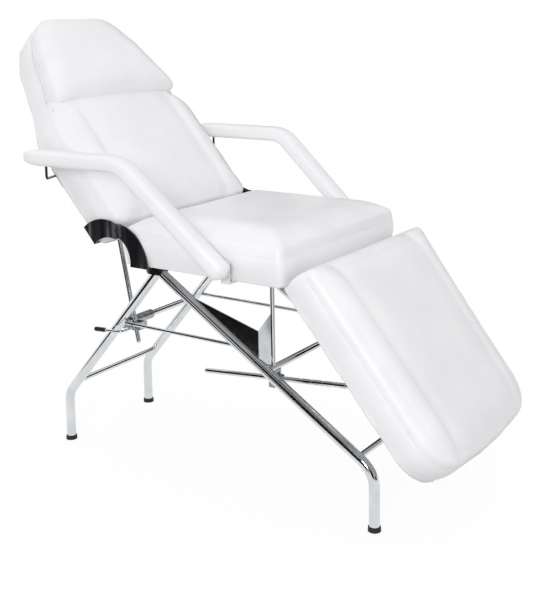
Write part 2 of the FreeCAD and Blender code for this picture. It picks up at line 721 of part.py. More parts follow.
def arm_pad_shape():
    """Padded arm: rounded section swept along the bent line, ends rounded."""
    half_w = ARM_W / 2.0
    half_h = ARM_H / 2.0
    x = ARM_REAR_X
    corners = [
        V(x, -ARM_Y - half_w, ARM_Z - half_h),
        V(x, -ARM_Y + half_w, ARM_Z - half_h),
        V(x, -ARM_Y + half_w, ARM_Z + half_h),
        V(x, -ARM_Y - half_w, ARM_Z + half_h),
    ]
    section = rounded_wire(corners, [ARM_EDGE_R] * 4)
    points = arm_points()
    pad = bent_path(points, ARM_BEND_R).makePipeShell([section], True, True)
    rims = []
    for end in (points[0], points[-1]):
        flat = [f for f in pad.Faces if (f.CenterOfMass - end).Length < 2.0]
        rims.extend(flat[0].Edges)
    return pad.makeFillet(ARM_END_R, rims)


def hook_end():
    """Rest place of the arm hook's inner end, close under the backrest board."""
    pivot = V(HINGE_X, 0, HINGE_Z)
    flat = V(-KEEPER_S, 0, BOARD_BOTTOM - HOOK_CLEAR - HINGE_Z)
    return pivot + FreeCAD.Rotation(YAXIS, BACK_ANGLE).multVec(flat)


def build_arms():
    """Two padded arms with steel core, wire hook, pivot bolt and bracket."""
    inside = hook_end()
    for side, sign in SIDES:
        y = -ARM_PIVOT_Y
        points = arm_points()
        first = V(ARM_REAR_X + 26.0, -ARM_Y, ARM_Z)
        slope = (points[2] - points[1]).normalize()
        core = rod([first, points[1], points[2] - slope * 10.0], ARM_CORE_R, ARM_BEND_R)
        hook_path = [
            V(HOOK_X, -ARM_Y, ARM_Z),
            V(HOOK_X, -ARM_Y, ARM_Z - HOOK_DROP),
            V(inside.x, -PAD_HALF + 15.0, inside.z),
            V(inside.x, -KEEPER_Y + 10.0, inside.z),
        ]
        hook = rod(hook_path, HOOK_R, 12.0)
        bore = bar_y(ARM_PIVOT_X, ARM_PIVOT_Z, y - ARM_CORE_R - 2, y + ARM_W, ARM_PIVOT_R + RUN_GAP)
        core = core.cut(bore)
        hook = hook.cut(core)
        pad = arm_pad_shape().cut(core).cut(hook).cut(bore)
        plate_y = y + ARM_W / 2.0 + ARM_WASHER
        under = BOARD_BOTTOM - ARM_EAR_T
        left = ARM_PIVOT_X - ARM_EAR_HALF
        right = ARM_PIVOT_X + ARM_EAR_HALF
        foot = box(left, right, plate_y, -PAD_HALF + 80.0, under, BOARD_BOTTOM)
        outline = [
            V(left, plate_y, under),
            V(right, plate_y, under),
            V(right, plate_y, ARM_PIVOT_Z + ARM_EAR_HALF),
            V(left, plate_y, ARM_PIVOT_Z + ARM_EAR_HALF),
        ]
        ear = Part.Face(rounded_wire(outline, [3.0, 3.0, 11.0, 11.0])).extrude(V(0, ARM_EAR_T, 0))
        hole = bar_y(ARM_PIVOT_X, ARM_PIVOT_Z, plate_y - 1.0, plate_y + ARM_EAR_T + 1.0, ARM_PIVOT_R)
        bracket = foot.fuse(ear).removeSplitter().cut(hole)
        nut_y = plate_y + ARM_EAR_T
        shaft = bar_y(ARM_PIVOT_X, ARM_PIVOT_Z, y - ARM_CORE_R - 1.0, nut_y + ARM_NUT_H + 1.0, ARM_PIVOT_R)
        washer = bar_y(ARM_PIVOT_X, ARM_PIVOT_Z, plate_y - ARM_WASHER * 0.6, plate_y, 12.0)
        nut = bar_y(ARM_PIVOT_X, ARM_PIVOT_Z, nut_y, nut_y + ARM_NUT_H, 10.0)
        bolt = shaft.fuse([washer, nut]).removeSplitter()
        group = [core, pad, hook, bracket, bolt]
        if sign > 0:
            group = [mirrored(s) for s in group]
        for name, shape in zip(("arm_core", "arm_pad", "arm_hook", "arm_bracket", "arm_bolt"), group):
            keep("%s_%s" % (name, side), shape)


def build_keepers():
    """Staples under the backrest in which the arm hooks run."""
    x = HINGE_X - KEEPER_S
    y0 = -KEEPER_Y - KEEPER_W
    y1 = -KEEPER_Y + KEEPER_W
    low = BOARD_BOTTOM - KEEPER_DROP - KEEPER_T
    wide = KEEPER_HALF + KEEPER_T
    outer = box(x - wide, x + wide, y0, y1, low, BOARD_BOTTOM)
    gap = box(x - KEEPER_HALF, x + KEEPER_HALF, y0 - 1.0, y1 + 1.0, low + KEEPER_T, BOARD_BOTTOM + 1.0)
    feet = [
        box(x - wide - KEEPER_FOOT, x - KEEPER_HALF, y0, y1, BOARD_BOTTOM - 3.0, BOARD_BOTTOM),
        box(x + KEEPER_HALF, x + wide + KEEPER_FOOT, y0, y1, BOARD_BOTTOM - 3.0, BOARD_BOTTOM),
    ]
    keeper = outer.cut(gap).fuse(feet).removeSplitter()
    keep("hook_keeper_near", to_rest_back(keeper))
    keep("hook_keeper_far", to_rest_back(mirrored(keeper)))


build_legs()
build_apex()
build_bars()
build_gussets()
build_hinges()
build_sections()
build_leg_hinges()
build_back_stay()
build_leg_stay()
build_arms()
build_keepers()

everything = Part.makeCompound(list(parts.values()))
middle = everything.BoundBox.Center
shift = V(-middle.x, 0, 0)

os.makedirs("parts", exist_ok=True)
print("shift", shift)
for name, shape in parts.items():
    shape.translate(shift)
    shape.exportStep("parts/%s.step" % name)
    bb = shape.BoundBox
    print("%-20s valid %s solids %d  x %7.1f %7.1f  y %7.1f %7.1f  z %7.1f %7.1f" % (
        name, shape.isValid(), len(shape.Solids), bb.XMin, bb.XMax, bb.YMin, bb.YMax, bb.ZMin, bb.ZMax))
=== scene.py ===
"""Massage bed: upholstery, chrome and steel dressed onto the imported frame."""

import json
import logging
import math
from dataclasses import dataclass, field
from enum import Enum
from typing import Any, Sequence

import bmesh
import bpy
from mathutils import Matrix, Vector
from mathutils.bvhtree import BVHTree
from mathutils.kdtree import KDTree

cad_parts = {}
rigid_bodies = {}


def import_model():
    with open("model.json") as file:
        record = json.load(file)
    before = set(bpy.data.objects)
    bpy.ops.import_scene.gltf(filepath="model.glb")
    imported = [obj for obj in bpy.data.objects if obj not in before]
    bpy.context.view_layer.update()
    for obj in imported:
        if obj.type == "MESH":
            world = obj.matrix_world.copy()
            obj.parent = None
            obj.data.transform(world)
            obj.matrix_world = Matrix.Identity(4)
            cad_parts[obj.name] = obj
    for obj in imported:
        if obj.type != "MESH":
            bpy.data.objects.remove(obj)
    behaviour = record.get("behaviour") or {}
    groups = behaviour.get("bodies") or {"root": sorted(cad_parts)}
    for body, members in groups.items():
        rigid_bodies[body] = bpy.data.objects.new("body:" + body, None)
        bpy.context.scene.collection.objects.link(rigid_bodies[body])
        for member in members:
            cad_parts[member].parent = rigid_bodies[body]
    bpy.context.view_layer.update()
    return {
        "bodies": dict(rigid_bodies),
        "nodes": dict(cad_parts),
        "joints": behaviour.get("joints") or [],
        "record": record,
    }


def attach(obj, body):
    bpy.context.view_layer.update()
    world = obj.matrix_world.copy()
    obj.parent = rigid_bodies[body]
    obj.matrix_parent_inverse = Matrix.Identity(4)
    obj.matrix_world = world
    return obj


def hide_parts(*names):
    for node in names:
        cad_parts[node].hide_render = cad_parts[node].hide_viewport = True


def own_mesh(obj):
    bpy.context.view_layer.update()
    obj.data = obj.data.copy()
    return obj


LOG = logging.getLogger("massage_bed")

# A millimetre in metres, and a metre in millimetres
MM = 0.001
METRE = 1000

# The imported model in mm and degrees: shift along the bed, boards, pads, hinges as x and z
SHIFT_X = -22.754
BOARD_BOTTOM = 618.0
PAD_THICK = 98.0
PAD_HALF = 300.0
BACK_HINGE = (-185.0, 708.0)
BACK_ANGLE = 49.0
LEG_HINGE = (338.0, 612.0)
LEG_ANGLE = 52.0

# Section of a pad: lower edge as heights with insets in mm, steps of each part, crown's shape
LOWER_EDGE = ((0.0, 2.5), (2.0, 0.8), (6.0, 0.0))
SIDE_STEPS = 6
RIM_STEPS = 6
CROWN_STEPS = 14
CROWN_EDGE = 0.8
CROWN_MIDDLE = 0.2
CROWN_REACH = 0.98

# Folds of a cover, in mm or as shares: widths, lift of the side roll, crease, rounded front
FOLD_OUTER = 14.0
FOLD_INNER = 30.0
ROLL_LIFT = 0.35
ROLL_WIDTH = 26.0
CREASE_DEPTH = 7.0
CREASE_WIDTH = 13.0
FRONT_DROP = 0.5
FRONT_ARC = 0.96

# Seams: drop of the side seam below the rim and half width of its groove, in mm
SEAM_DROP = 22.0
GROOVE_REACH = 7.0
SEAM_ROUNDS = 5
SEAM_CUTS = 4

# Cloth that fills out under pressure
CLOTH = {
    "quality": 4,
    "mass": 0.3,
    "tension_stiffness": 18.0,
    "compression_stiffness": 12.0,
    "shear_stiffness": 8.0,
    "bending_stiffness": 2.0,
    "use_pressure": True,
}
CLOTH_FRAMES = 20
EVEN_ROUNDS = 12
SMOOTH_ROUNDS = 3
HELD_BASE = 1.5

Point = tuple[float, float, float]
Colour = tuple[float, float, float, float]
Stops = Sequence[tuple[float, Colour]]


class Body(Enum):
    """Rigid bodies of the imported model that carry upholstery."""

    FRAME = "frame"
    BACKREST = "backrest"
    LEG_REST = "leg_rest"
    ARM_NEAR = "arm_near"
    ARM_FAR = "arm_far"


def linear(code: str) -> Colour:
    """Turns an sRGB hex colour into linear values.

    Args:
        code: Six hex digits.

    Returns:
        Linear red, green, blue and an alpha of one.
    """
    values = [int(code[i : i + 2], 16) / 255.0 for i in (0, 2, 4)]
    out = [v / 12.92 if v <= 0.04045 else ((v + 0.055) / 1.055) ** 2.4 for v in values]
    return (out[0], out[1], out[2], 1.0)


def grey(value: float) -> Colour:
    """Makes a neutral colour.

    Args:
        value: Linear brightness.

    Returns:
        The colour with an alpha of one.
    """
    return (value, value, value, 1.0)


def add_node(tree: Any, kind: str, inputs: dict[Any, Any] | None = None, **settings: Any) -> Any:
    """Adds a shader node with its settings, values and links.

    Args:
        tree: Node tree that takes the node.
        kind: Type of the node.
        inputs: Input name or number to a plain value or to an output socket.
        settings: Attributes of the node.

    Returns:
        The new node.
    """
    node = tree.nodes.new(kind)
    for key, value in settings.items():
        setattr(node, key, value)
    for key, value in (inputs or {}).items():
        if isinstance(value, bpy.types.NodeSocket):
            tree.links.new(value, node.inputs[key])
        else:
            node.inputs[key].default_value = value
    return node


def ramp(tree: Any, factor: Any, stops: Stops) -> Any:
    """Adds a colour ramp.

    Args:
        tree: Node tree that takes the ramp.
        factor: Output socket that drives it.
        stops: Positions with their colours.

    Returns:
        The ramp's colour output.
    """
    node = add_node(tree, "ShaderNodeValToRGB", {"Fac": factor})
    items = node.color_ramp.elements
    while len(items) < len(stops):
        items.new(0.5)
    for item, (place, colour) in zip(items, stops):
        item.position = place
        item.color = colour
    return node.outputs["Color"]


def noise(tree: Any, place: Any, size: float, detail: float, distortion: float = 0.0) -> Any:
    """Adds a soft random pattern.

    Args:
        tree: Node tree that takes the pattern.
        place: Output socket with the position.
        size: Size of its features in mm.
        detail: Levels of finer detail.
        distortion: How far the pattern is warped.

    Returns:
        The pattern's factor output.
    """
    inputs = {"Vector": place, "Scale": METRE / size, "Detail": detail, "Distortion": distortion}
    return add_node(tree, "ShaderNodeTexNoise", inputs).outputs["Fac"]


def relief(tree: Any, height: Any, strength: float, depth: float, finer: Any = None) -> Any:
    """Adds a bump.

    Args:
        tree: Node tree that takes the bump.
        height: Output socket with the height.
        strength: Share of the bump that shows.
        depth: Depth in mm.
        finer: Normal output of a finer bump below it, if there is one.

    Returns:
        The bump's normal output.
    """
    inputs = {"Height": height, "Strength": strength, "Distance": depth * MM}
    if finer is not None:
        inputs["Normal"] = finer
    return add_node(tree, "ShaderNodeBump", inputs).outputs["Normal"]


def empty_tree(owner: Any) -> Any:
    """Turns on the nodes of a material or world and clears them.

    Args:
        owner: The material or world.

    Returns:
        Its empty node tree.
    """
    owner.use_nodes = True
    owner.node_tree.nodes.clear()
    return owner.node_tree


def start_material(name: str) -> tuple[Any, Any, Any, Any]:
    """Makes an empty material with a principled shader.

    Args:
        name: Name of the real material.

    Returns:
        The material, its tree, the shader node and an object-space position output.
    """
    material = bpy.data.materials.new(name)
    tree = empty_tree(material)
    shader = add_node(tree, "ShaderNodeBsdfPrincipled")
    add_node(tree, "ShaderNodeOutputMaterial", {"Surface": shader.outputs["BSDF"]})
    place = add_node(tree, "ShaderNodeTexCoord").outputs["Object"]
    return material, tree, shader, place


def link_ramps(tree: Any, shader: Any, factor: Any, tones: Stops, gloss: Stops) -> None:
    """Lets one pattern drive a shader's colour and roughness.

    Args:
        tree: The material's node tree.
        shader: Its principled shader.
        factor: The pattern's factor output.
        tones: Stops of the colour.
        gloss: Stops of the roughness.
    """
    tree.links.new(ramp(tree, factor, tones), shader.inputs["Base Color"])
    tree.links.new(ramp(tree, factor, gloss), shader.inputs["Roughness"])


@dataclass(frozen=True)
class Leather:
    """Polyurethane upholstery leather, embossed and coated on a knitted backing."""

    # A smooth white skin with a fine pebble grain and a soft sheen along its curves.
    name: str = "polyurethane_leather_white"
    pale: str = "F7F7F8"
    shade: str = "F0F0F2"
    cloud_mm: float = 160.0
    roughness: float = 0.42
    refraction: float = 1.5
    grain_mm: float = 2.2
    grain_edge: float = 0.25
    grain_strength: float = 0.10
    grain_depth: float = 0.25
    drape_mm: float = 55.0
    drape_strength: float = 0.22
    drape_depth: float = 3.0

    def build(self) -> Any:
        """Returns the finished material."""
        material, tree, shader, place = start_material(self.name)
        tones = ((0.3, linear(self.shade)), (0.7, linear(self.pale)))
        gloss = ((0.2, grey(self.roughness - 0.05)), (0.8, grey(self.roughness + 0.06)))
        link_ramps(tree, shader, noise(tree, place, self.cloud_mm, 3.0), tones, gloss)
        shader.inputs["IOR"].default_value = self.refraction
        cells = add_node(
            tree,
            "ShaderNodeTexVoronoi",
            {"Vector": place, "Scale": METRE / self.grain_mm},
            feature="DISTANCE_TO_EDGE",
        )
        edges = ((0.0, grey(0.0)), (self.grain_edge, grey(1.0)))
        pebble = ramp(tree, cells.outputs["Distance"], edges)
        grain = relief(tree, pebble, self.grain_strength, self.grain_depth)
        drape = noise(tree, place, self.drape_mm, 2.0)
        soft = relief(tree, drape, self.drape_strength, self.drape_depth, grain)
        tree.links.new(soft, shader.inputs["Normal"])
        return material


@dataclass(frozen=True)
class Metal:
    """Plated metal with its polish and faint handling marks."""

    name: str
    pale: str
    shade: str
    roughness: float
    spread: float
    mark_mm: float
    bump: float
    depth: float = 0.4

    def build(self) -> Any:
        """Returns the finished material."""
        material, tree, shader, place = start_material(self.name)
        shader.inputs["Metallic"].default_value = 1.0
        marks = noise(tree, place, self.mark_mm, 4.0)
        tones = ((0.35, linear(self.shade)), (0.65, linear(self.pale)))
        gloss = ((0.3, grey(self.roughness)), (0.75, grey(self.roughness + self.spread)))
        link_ramps(tree, shader, marks, tones, gloss)
        tree.links.new(relief(tree, marks, self.bump, self.depth), shader.inputs["Normal"])
        return material


@dataclass(frozen=True)
class Coating:
    """Paint, rubber or plastic: a coloured skin with a fine even texture."""

    name: str
    pale: str
    shade: str
    roughness: float
    texture_mm: float
    bump: float
    depth: float = 0.3

    def build(self) -> Any:
        """Returns the finished material."""
        material, tree, shader, place = start_material(self.name)
        skin = noise(tree, place, self.texture_mm, 3.0)
        tones = ((0.3, linear(self.shade)), (0.7, linear(self.pale)))
        gloss = ((0.25, grey(self.roughness - 0.05)), (0.75, grey(self.roughness + 0.08)))
        link_ramps(tree, shader, skin, tones, gloss)
        tree.links.new(relief(tree, skin, self.bump, self.depth), shader.inputs["Normal"])
        return material


@dataclass(frozen=True)
class Enamel:
    """Black stove enamel on sheet steel."""

    # A deep gloss with long soft streaks of painted reflection where the room mirrors in the plate.
    name: str = "black_stove_enamel"
    deep: str = "19191B"
    body: str = "2B2C2F"
    # Pale top tone of the streaks: a painted reflection in the base colour
    painted_reflection: str = "66686C"
    painted_streak_mm: float = 26.0
    stretch: float = 0.10
    lean: float = 28.0
    roughness: float = 0.16
    spread: float = 0.08

    def build(self) -> Any:
        """Returns the finished material."""
        material, tree, shader, place = start_material(self.name)
        turn = (0.0, math.radians(self.lean), 0.0)
        drawn = add_node(
            tree,
            "ShaderNodeMapping",
            {"Vector": place, "Rotation": turn, "Scale": (1.0, 1.0, self.stretch)},
        )
        # Stretched, leaning noise paints the reflection streaks into the base colour; the roughness
        # follows it
        painted_streaks = noise(tree, drawn.outputs["Vector"], self.painted_streak_mm, 1.5)
        tones = (
            (0.36, linear(self.deep)),
            (0.55, linear(self.body)),
            (0.66, linear(self.painted_reflection)),
        )
        gloss = ((0.3, grey(self.roughness)), (0.7, grey(self.roughness + self.spread)))
        link_ramps(tree, shader, painted_streaks, tones, gloss)
        return material


@dataclass(frozen=True)
class Plywood:
    """Rotary-cut birch plywood, sanded and left bare under the seat."""

    # Pale brown face with long drawn-out grain figures across the bed.
    name: str = "birch_plywood"
    pale: str = "C9A878"
    shade: str = "A9855A"
    grain_mm: float = 9.0
    stretch: float = 0.08
    warp: float = 0.6
    roughness: float = 0.62
    bump: float = 0.2
    depth: float = 0.3

    def build(self) -> Any:
        """Returns the finished material."""
        material, tree, shader, place = start_material(self.name)
        drawn = add_node(
            tree, "ShaderNodeMapping", {"Vector": place, "Scale": (1.0, self.stretch, 1.0)}
        )
        figure = noise(tree, drawn.outputs["Vector"], self.grain_mm, 5.0, self.warp)
        tones = ((0.3, linear(self.shade)), (0.7, linear(self.pale)))
        tree.links.new(ramp(tree, figure, tones), shader.inputs["Base Color"])
        shader.inputs["Roughness"].default_value = self.roughness
        tree.links.new(relief(tree, figure, self.bump, self.depth), shader.inputs["Normal"])
        return material


# Bright nickel-chrome plate on drawn tube: mirror bands with a faint haze.
CHROME = Metal("nickel_chrome_plate", "DDDFE1", "CFD2D4", 0.05, 0.05, mark_mm=60.0, bump=0.01)
# Zinc-plated pressed steel: grey, satin, slightly mottled.
ZINC = Metal("zinc_plated_steel", "B9BCBE", "9A9DA0", 0.26, 0.14, mark_mm=9.0, bump=0.08)
# Bright plated sheet of the folded gussets: each facet mirrors another part of the room.
SHEET = Metal("bright_plated_sheet", "D3D5D8", "C2C5C8", 0.10, 0.06, mark_mm=45.0, bump=0.02)
# White powder coat of the arm brackets: satin, with a faint orange peel.
POWDER = Coating("white_powder_coat", "F2F3F4", "E8EAEB", 0.38, texture_mm=1.6, bump=0.12)
# Moulded rubber of the foot caps: matt with a dusty bloom.
RUBBER = Coating("moulded_rubber", "232323", "161616", 0.66, texture_mm=3.0, bump=0.25)
# Dipped vinyl of the lever grip: smooth, with a dull shine.
VINYL = Coating("dipped_vinyl", "191919", "101010", 0.42, texture_mm=2.2, bump=0.12)


class Finishes:
    """All finishes of the bed, by the record's material slot."""

    def __init__(self) -> None:
        """Builds each finish once."""
        self.by_slot = {
            "white_leather": Leather().build(),
            "chrome_tube": CHROME.build(),
            "zinc_steel": ZINC.build(),
            "black_steel": Enamel().build(),
            "white_steel": POWDER.build(),
            "polished_sheet": SHEET.build(),
            "black_rubber": RUBBER.build(),
            "black_plastic": VINYL.build(),
            "plywood": Plywood().build(),
        }

    def dress(self, obj: Any, slot: str) -> None:
        """Puts a slot's material on an object as its only one.

        Args:
            obj: Mesh object.
            slot: Material slot of the record.
        """
        obj.data.materials.clear()
        obj.data.materials.append(self.by_slot[slot])

    def dress_frame(self, frame: dict[str, Any]) -> None:
        """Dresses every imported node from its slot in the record.

        Args:
            frame: The loaded frame with its record and nodes.
        """
        slots = {row["node"]: row["material_slot"] for row in frame["record"]["subparts"]}
        for name, node in frame["nodes"].items():
            self.dress(node, slots[name])
            for polygon in node.data.polygons:
                polygon.material_index = 0


def place_object(name: str, data: Any) -> Any:
    """Adds an object to the scene.

    Args:
        name: Name of the object.
        data: Its mesh, curve, lamp or camera.

    Returns:
        The object.
    """
    obj = bpy.data.objects.new(name, data)
    bpy.context.scene.collection.objects.link(obj)
    return obj


def skin_rings(name: str, rings: Sequence[Sequence[Vector]]) -> Any:
    """Closes rings of points into one mesh with a cap at each end.

    Args:
        name: Name of the mesh.
        rings: Rings in order, with as many points each, in metres.

    Returns:
        The mesh.
    """
    bm = bmesh.new()
    loops = [[bm.verts.new(point) for point in ring] for ring in rings]
    for low, high in zip(loops, loops[1:]):
        for i in range(len(low)):
            j = (i + 1) % len(low)
            bm.faces.new((low[i], low[j], high[j], high[i]))
    bm.faces.new(list(reversed(loops[0])))
    bm.faces.new(loops[-1])
    bmesh.ops.recalc_face_normals(bm, faces=bm.faces)
    mesh = bpy.data.meshes.new(name)
    bm.to_mesh(mesh)
    bm.free()
    return mesh


def shade_smooth(mesh: Any) -> None:
    """Shades all faces of a mesh as one soft surface.

    Args:
        mesh: The mesh, changed in place.
    """
    for polygon in mesh.polygons:
        polygon.use_smooth = True


def apply_all(obj: Any) -> None:
    """Replaces an object's mesh by its evaluated one and drops the modifiers.

    Args:
        obj: Mesh object, changed in place.
    """
    graph = bpy.context.evaluated_depsgraph_get()
    fresh = bpy.data.meshes.new_from_object(obj.evaluated_get(graph))
    obj.modifiers.clear()
    old = obj.data
    obj.data = fresh
    bpy.data.meshes.remove(old)


def remesh(obj: Any, voxel: float) -> None:
    """Rebuilds a mesh in even quads.

    Args:
        obj: Mesh object, changed in place.
        voxel: Voxel size in mm.
    """
    modifier = obj.modifiers.new("even", "REMESH")
    modifier.mode = "VOXEL"
    modifier.voxel_size = voxel * MM
    apply_all(obj)


def smooth(obj: Any, rounds: int) -> None:
    """Evens out the voxel steps of a mesh.

    Args:
        obj: Mesh object, changed in place.
        rounds: Smoothing passes.
    """
    modifier = obj.modifiers.new("even", "SMOOTH")
    modifier.factor = 0.5
    modifier.iterations = rounds
    apply_all(obj)


def even_out(moves: list[Vector], mesh: Any, rounds: int) -> list[Vector]:
    """Averages movements over neighbouring points, so that a taut cover keeps no small wrinkles.

    Args:
        moves: One movement for each point.
        mesh: Mesh that says which points are neighbours.
        rounds: Averaging passes.

    Returns:
        The evened movements.
    """
    pairs = [tuple(edge.vertices) for edge in mesh.edges]
    for _ in range(rounds):
        total = [move.copy() for move in moves]
        count = [1] * len(moves)
        for a, b in pairs:
            total[a] += moves[b]
            total[b] += moves[a]
            count[a] += 1
            count[b] += 1
        moves = [move / share for move, share in zip(total, count)]
    return moves


def swell(obj: Any, pressure: float, cap: float, base: float) -> None:
    """Lets the upholstery fill out as cloth under pressure.

    Args:
        obj: Remeshed pad in flat position.
        pressure: Cloth pressure.
        cap: Farthest a point may move, in mm.
        base: Height of the flat base in mm, which stays flat.
    """
    start = [v.co.copy() for v in obj.data.vertices]
    modifier = obj.modifiers.new("upholstery", "CLOTH")
    for key, value in CLOTH.items():
        setattr(modifier.settings, key, value)
    modifier.settings.uniform_pressure_force = pressure
    modifier.settings.effector_weights.gravity = 0.0
    modifier.collision_settings.use_collision = False
    modifier.collision_settings.use_self_collision = False
    modifier.point_cache.frame_start = 1
    modifier.point_cache.frame_end = CLOTH_FRAMES
    scene = bpy.context.scene
    for number in range(1, CLOTH_FRAMES + 1):
        scene.frame_set(number)
    apply_all(obj)
    scene.frame_set(1)
    floor = base * MM
    moves = [v.co - first for v, first in zip(obj.data.vertices, start)]
    moves = even_out(moves, obj.data, EVEN_ROUNDS)
    for vert, first, move in zip(obj.data.vertices, start, moves):
        if move.length > cap * MM:
            move *= cap * MM / move.length
        place = first + move
        if first.z < floor + HELD_BASE * MM:
            place = first
        place.z = max(place.z, floor)
        vert.co = place


def press_groove(obj: Any, line: Sequence[Vector], reach: float, depth: float) -> None:
    """Draws the surface in along a seam.

    Args:
        obj: Mesh object, changed in place.
        line: Seam points in the object's space.
        reach: Half width of the groove in mm.
        depth: Depth in mm.
    """
    fine: list[Vector] = []
    for a, b in zip(line, list(line[1:]) + [line[0]]):
        fine.extend(a.lerp(b, k / SEAM_CUTS) for k in range(SEAM_CUTS))
    tree = KDTree(len(fine))
    for number, point in enumerate(fine):
        tree.insert(point, number)
    tree.balance()
    normals = [v.normal.copy() for v in obj.data.vertices]
    for vert, normal in zip(obj.data.vertices, normals):
        gap = tree.find(vert.co)[2] / (reach * MM)
        if gap < 1.0:
            vert.co -= normal * (depth * MM * (1 - gap * gap) ** 2)


def closed_tube(name: str, points: Sequence[Vector], radius: float) -> Any:
    """Makes a round cord as a mesh along points, with the last point joined to the first.

    Args:
        name: Name of the piece.
        points: Points in metres.
        radius: Radius in mm.

    Returns:
        The new mesh object.
    """
    curve = bpy.data.curves.new(name, "CURVE")
    curve.dimensions = "3D"
    curve.bevel_depth = radius * MM
    curve.bevel_resolution = 2
    spline = curve.splines.new("POLY")
    spline.points.add(len(points) - 1)
    for item, point in zip(spline.points, points):
        item.co = (*point, 1.0)
    spline.use_cyclic_u = True
    holder = place_object(name, curve)
    graph = bpy.context.evaluated_depsgraph_get()
    mesh = bpy.data.meshes.new_from_object(holder.evaluated_get(graph))
    bpy.data.objects.remove(holder)
    bpy.data.curves.remove(curve)
    shade_smooth(mesh)
    return place_object(name, mesh)


def turn_about(hinge: tuple[float, float], angle: float) -> Matrix:
    """Rest turn of a section that was drawn flat.

    Args:
        hinge: X and Z of the hinge line in mm before the shift.
        angle: Degrees about Y.

    Returns:
        Matrix in metres, with the model's shift along X.
    """
    centre = Vector((hinge[0] * MM, 0.0, hinge[1] * MM))
    turn = Matrix.Rotation(math.radians(angle), 4, "Y")
    spin = Matrix.Translation(centre) @ turn @ Matrix.Translation(-centre)
    return Matrix.Translation((SHIFT_X * MM, 0.0, 0.0)) @ spin


@dataclass(frozen=True)
class Outline:
    """Plan of a pad: corners as x, y and rounding radius, in mm, counter-clockwise."""

    corners: tuple[Point, ...]
    step: float = 14.0
    fewest: int = 3
    extra: int = 2

    def limits(self) -> Point:
        """Returns the middle x and the half sizes along x and y."""
        xs = [c[0] for c in self.corners]
        ys = [c[1] for c in self.corners]
        return (min(xs) + max(xs)) / 2, (max(xs) - min(xs)) / 2, (max(ys) - min(ys)) / 2

    def arc(self, number: int) -> list[Vector]:
        """Rounds one corner.

        Args:
            number: Place of the corner in the plan.

        Returns:
            Plan points along its arc in mm.
        """
        corner, before, after = (
            Vector(self.corners[(number + k) % len(self.corners)][:2]) for k in (0, -1, 1)
        )
        radius = self.corners[number][2]
        a, b = (before - corner).normalized(), (after - corner).normalized()
        half = a.angle(b) / 2
        centre = corner + (a + b).normalized() * (radius / math.sin(half))
        first = corner + a * (radius / math.tan(half)) - centre
        last = corner + b * (radius / math.tan(half)) - centre
        sweep = first.angle_signed(last)
        steps = max(self.fewest, int(abs(sweep) * radius / self.step) + self.extra)
        return [centre + Matrix.Rotation(-sweep * k / steps, 2) @ first for k in range(steps + 1)]

    def ring(self, inset: float) -> list[tuple[float, float]]:
        """Samples the outline drawn in by an inset, always with as many points.

        Args:
            inset: Distance in mm.

        Returns:
            Plan points in mm.
        """
        mid, half_x, half_y = self.limits()
        fx, fy = (half_x - inset) / half_x, (half_y - inset) / half_y
        arcs = [self.arc(number) for number in range(len(self.corners))]
        out: list[Vector] = []
        for arc, following in zip(arcs, arcs[1:] + arcs[:1]):
            out.extend(arc)
            start, stop = arc[-1], following[0]
            cuts = int((stop - start).length / self.step)
            out.extend(start.lerp(stop, k / (cuts + 1)) for k in range(1, cuts + 1))
        return [(mid + (p.x - mid) * fx, p.y * fy) for p in out]


def mirrored_plan(low: Sequence[Point]) -> Outline:
    """Closes a half plan with its mirror image, turned counter-clockwise.

    Args:
        low: Corners of the near half as x, y and radius, in mm.

    Returns:
        The whole plan.
    """
    high = [(x, -y, r) for x, y, r in reversed(low)]
    return Outline(tuple(reversed(list(low) + high)))


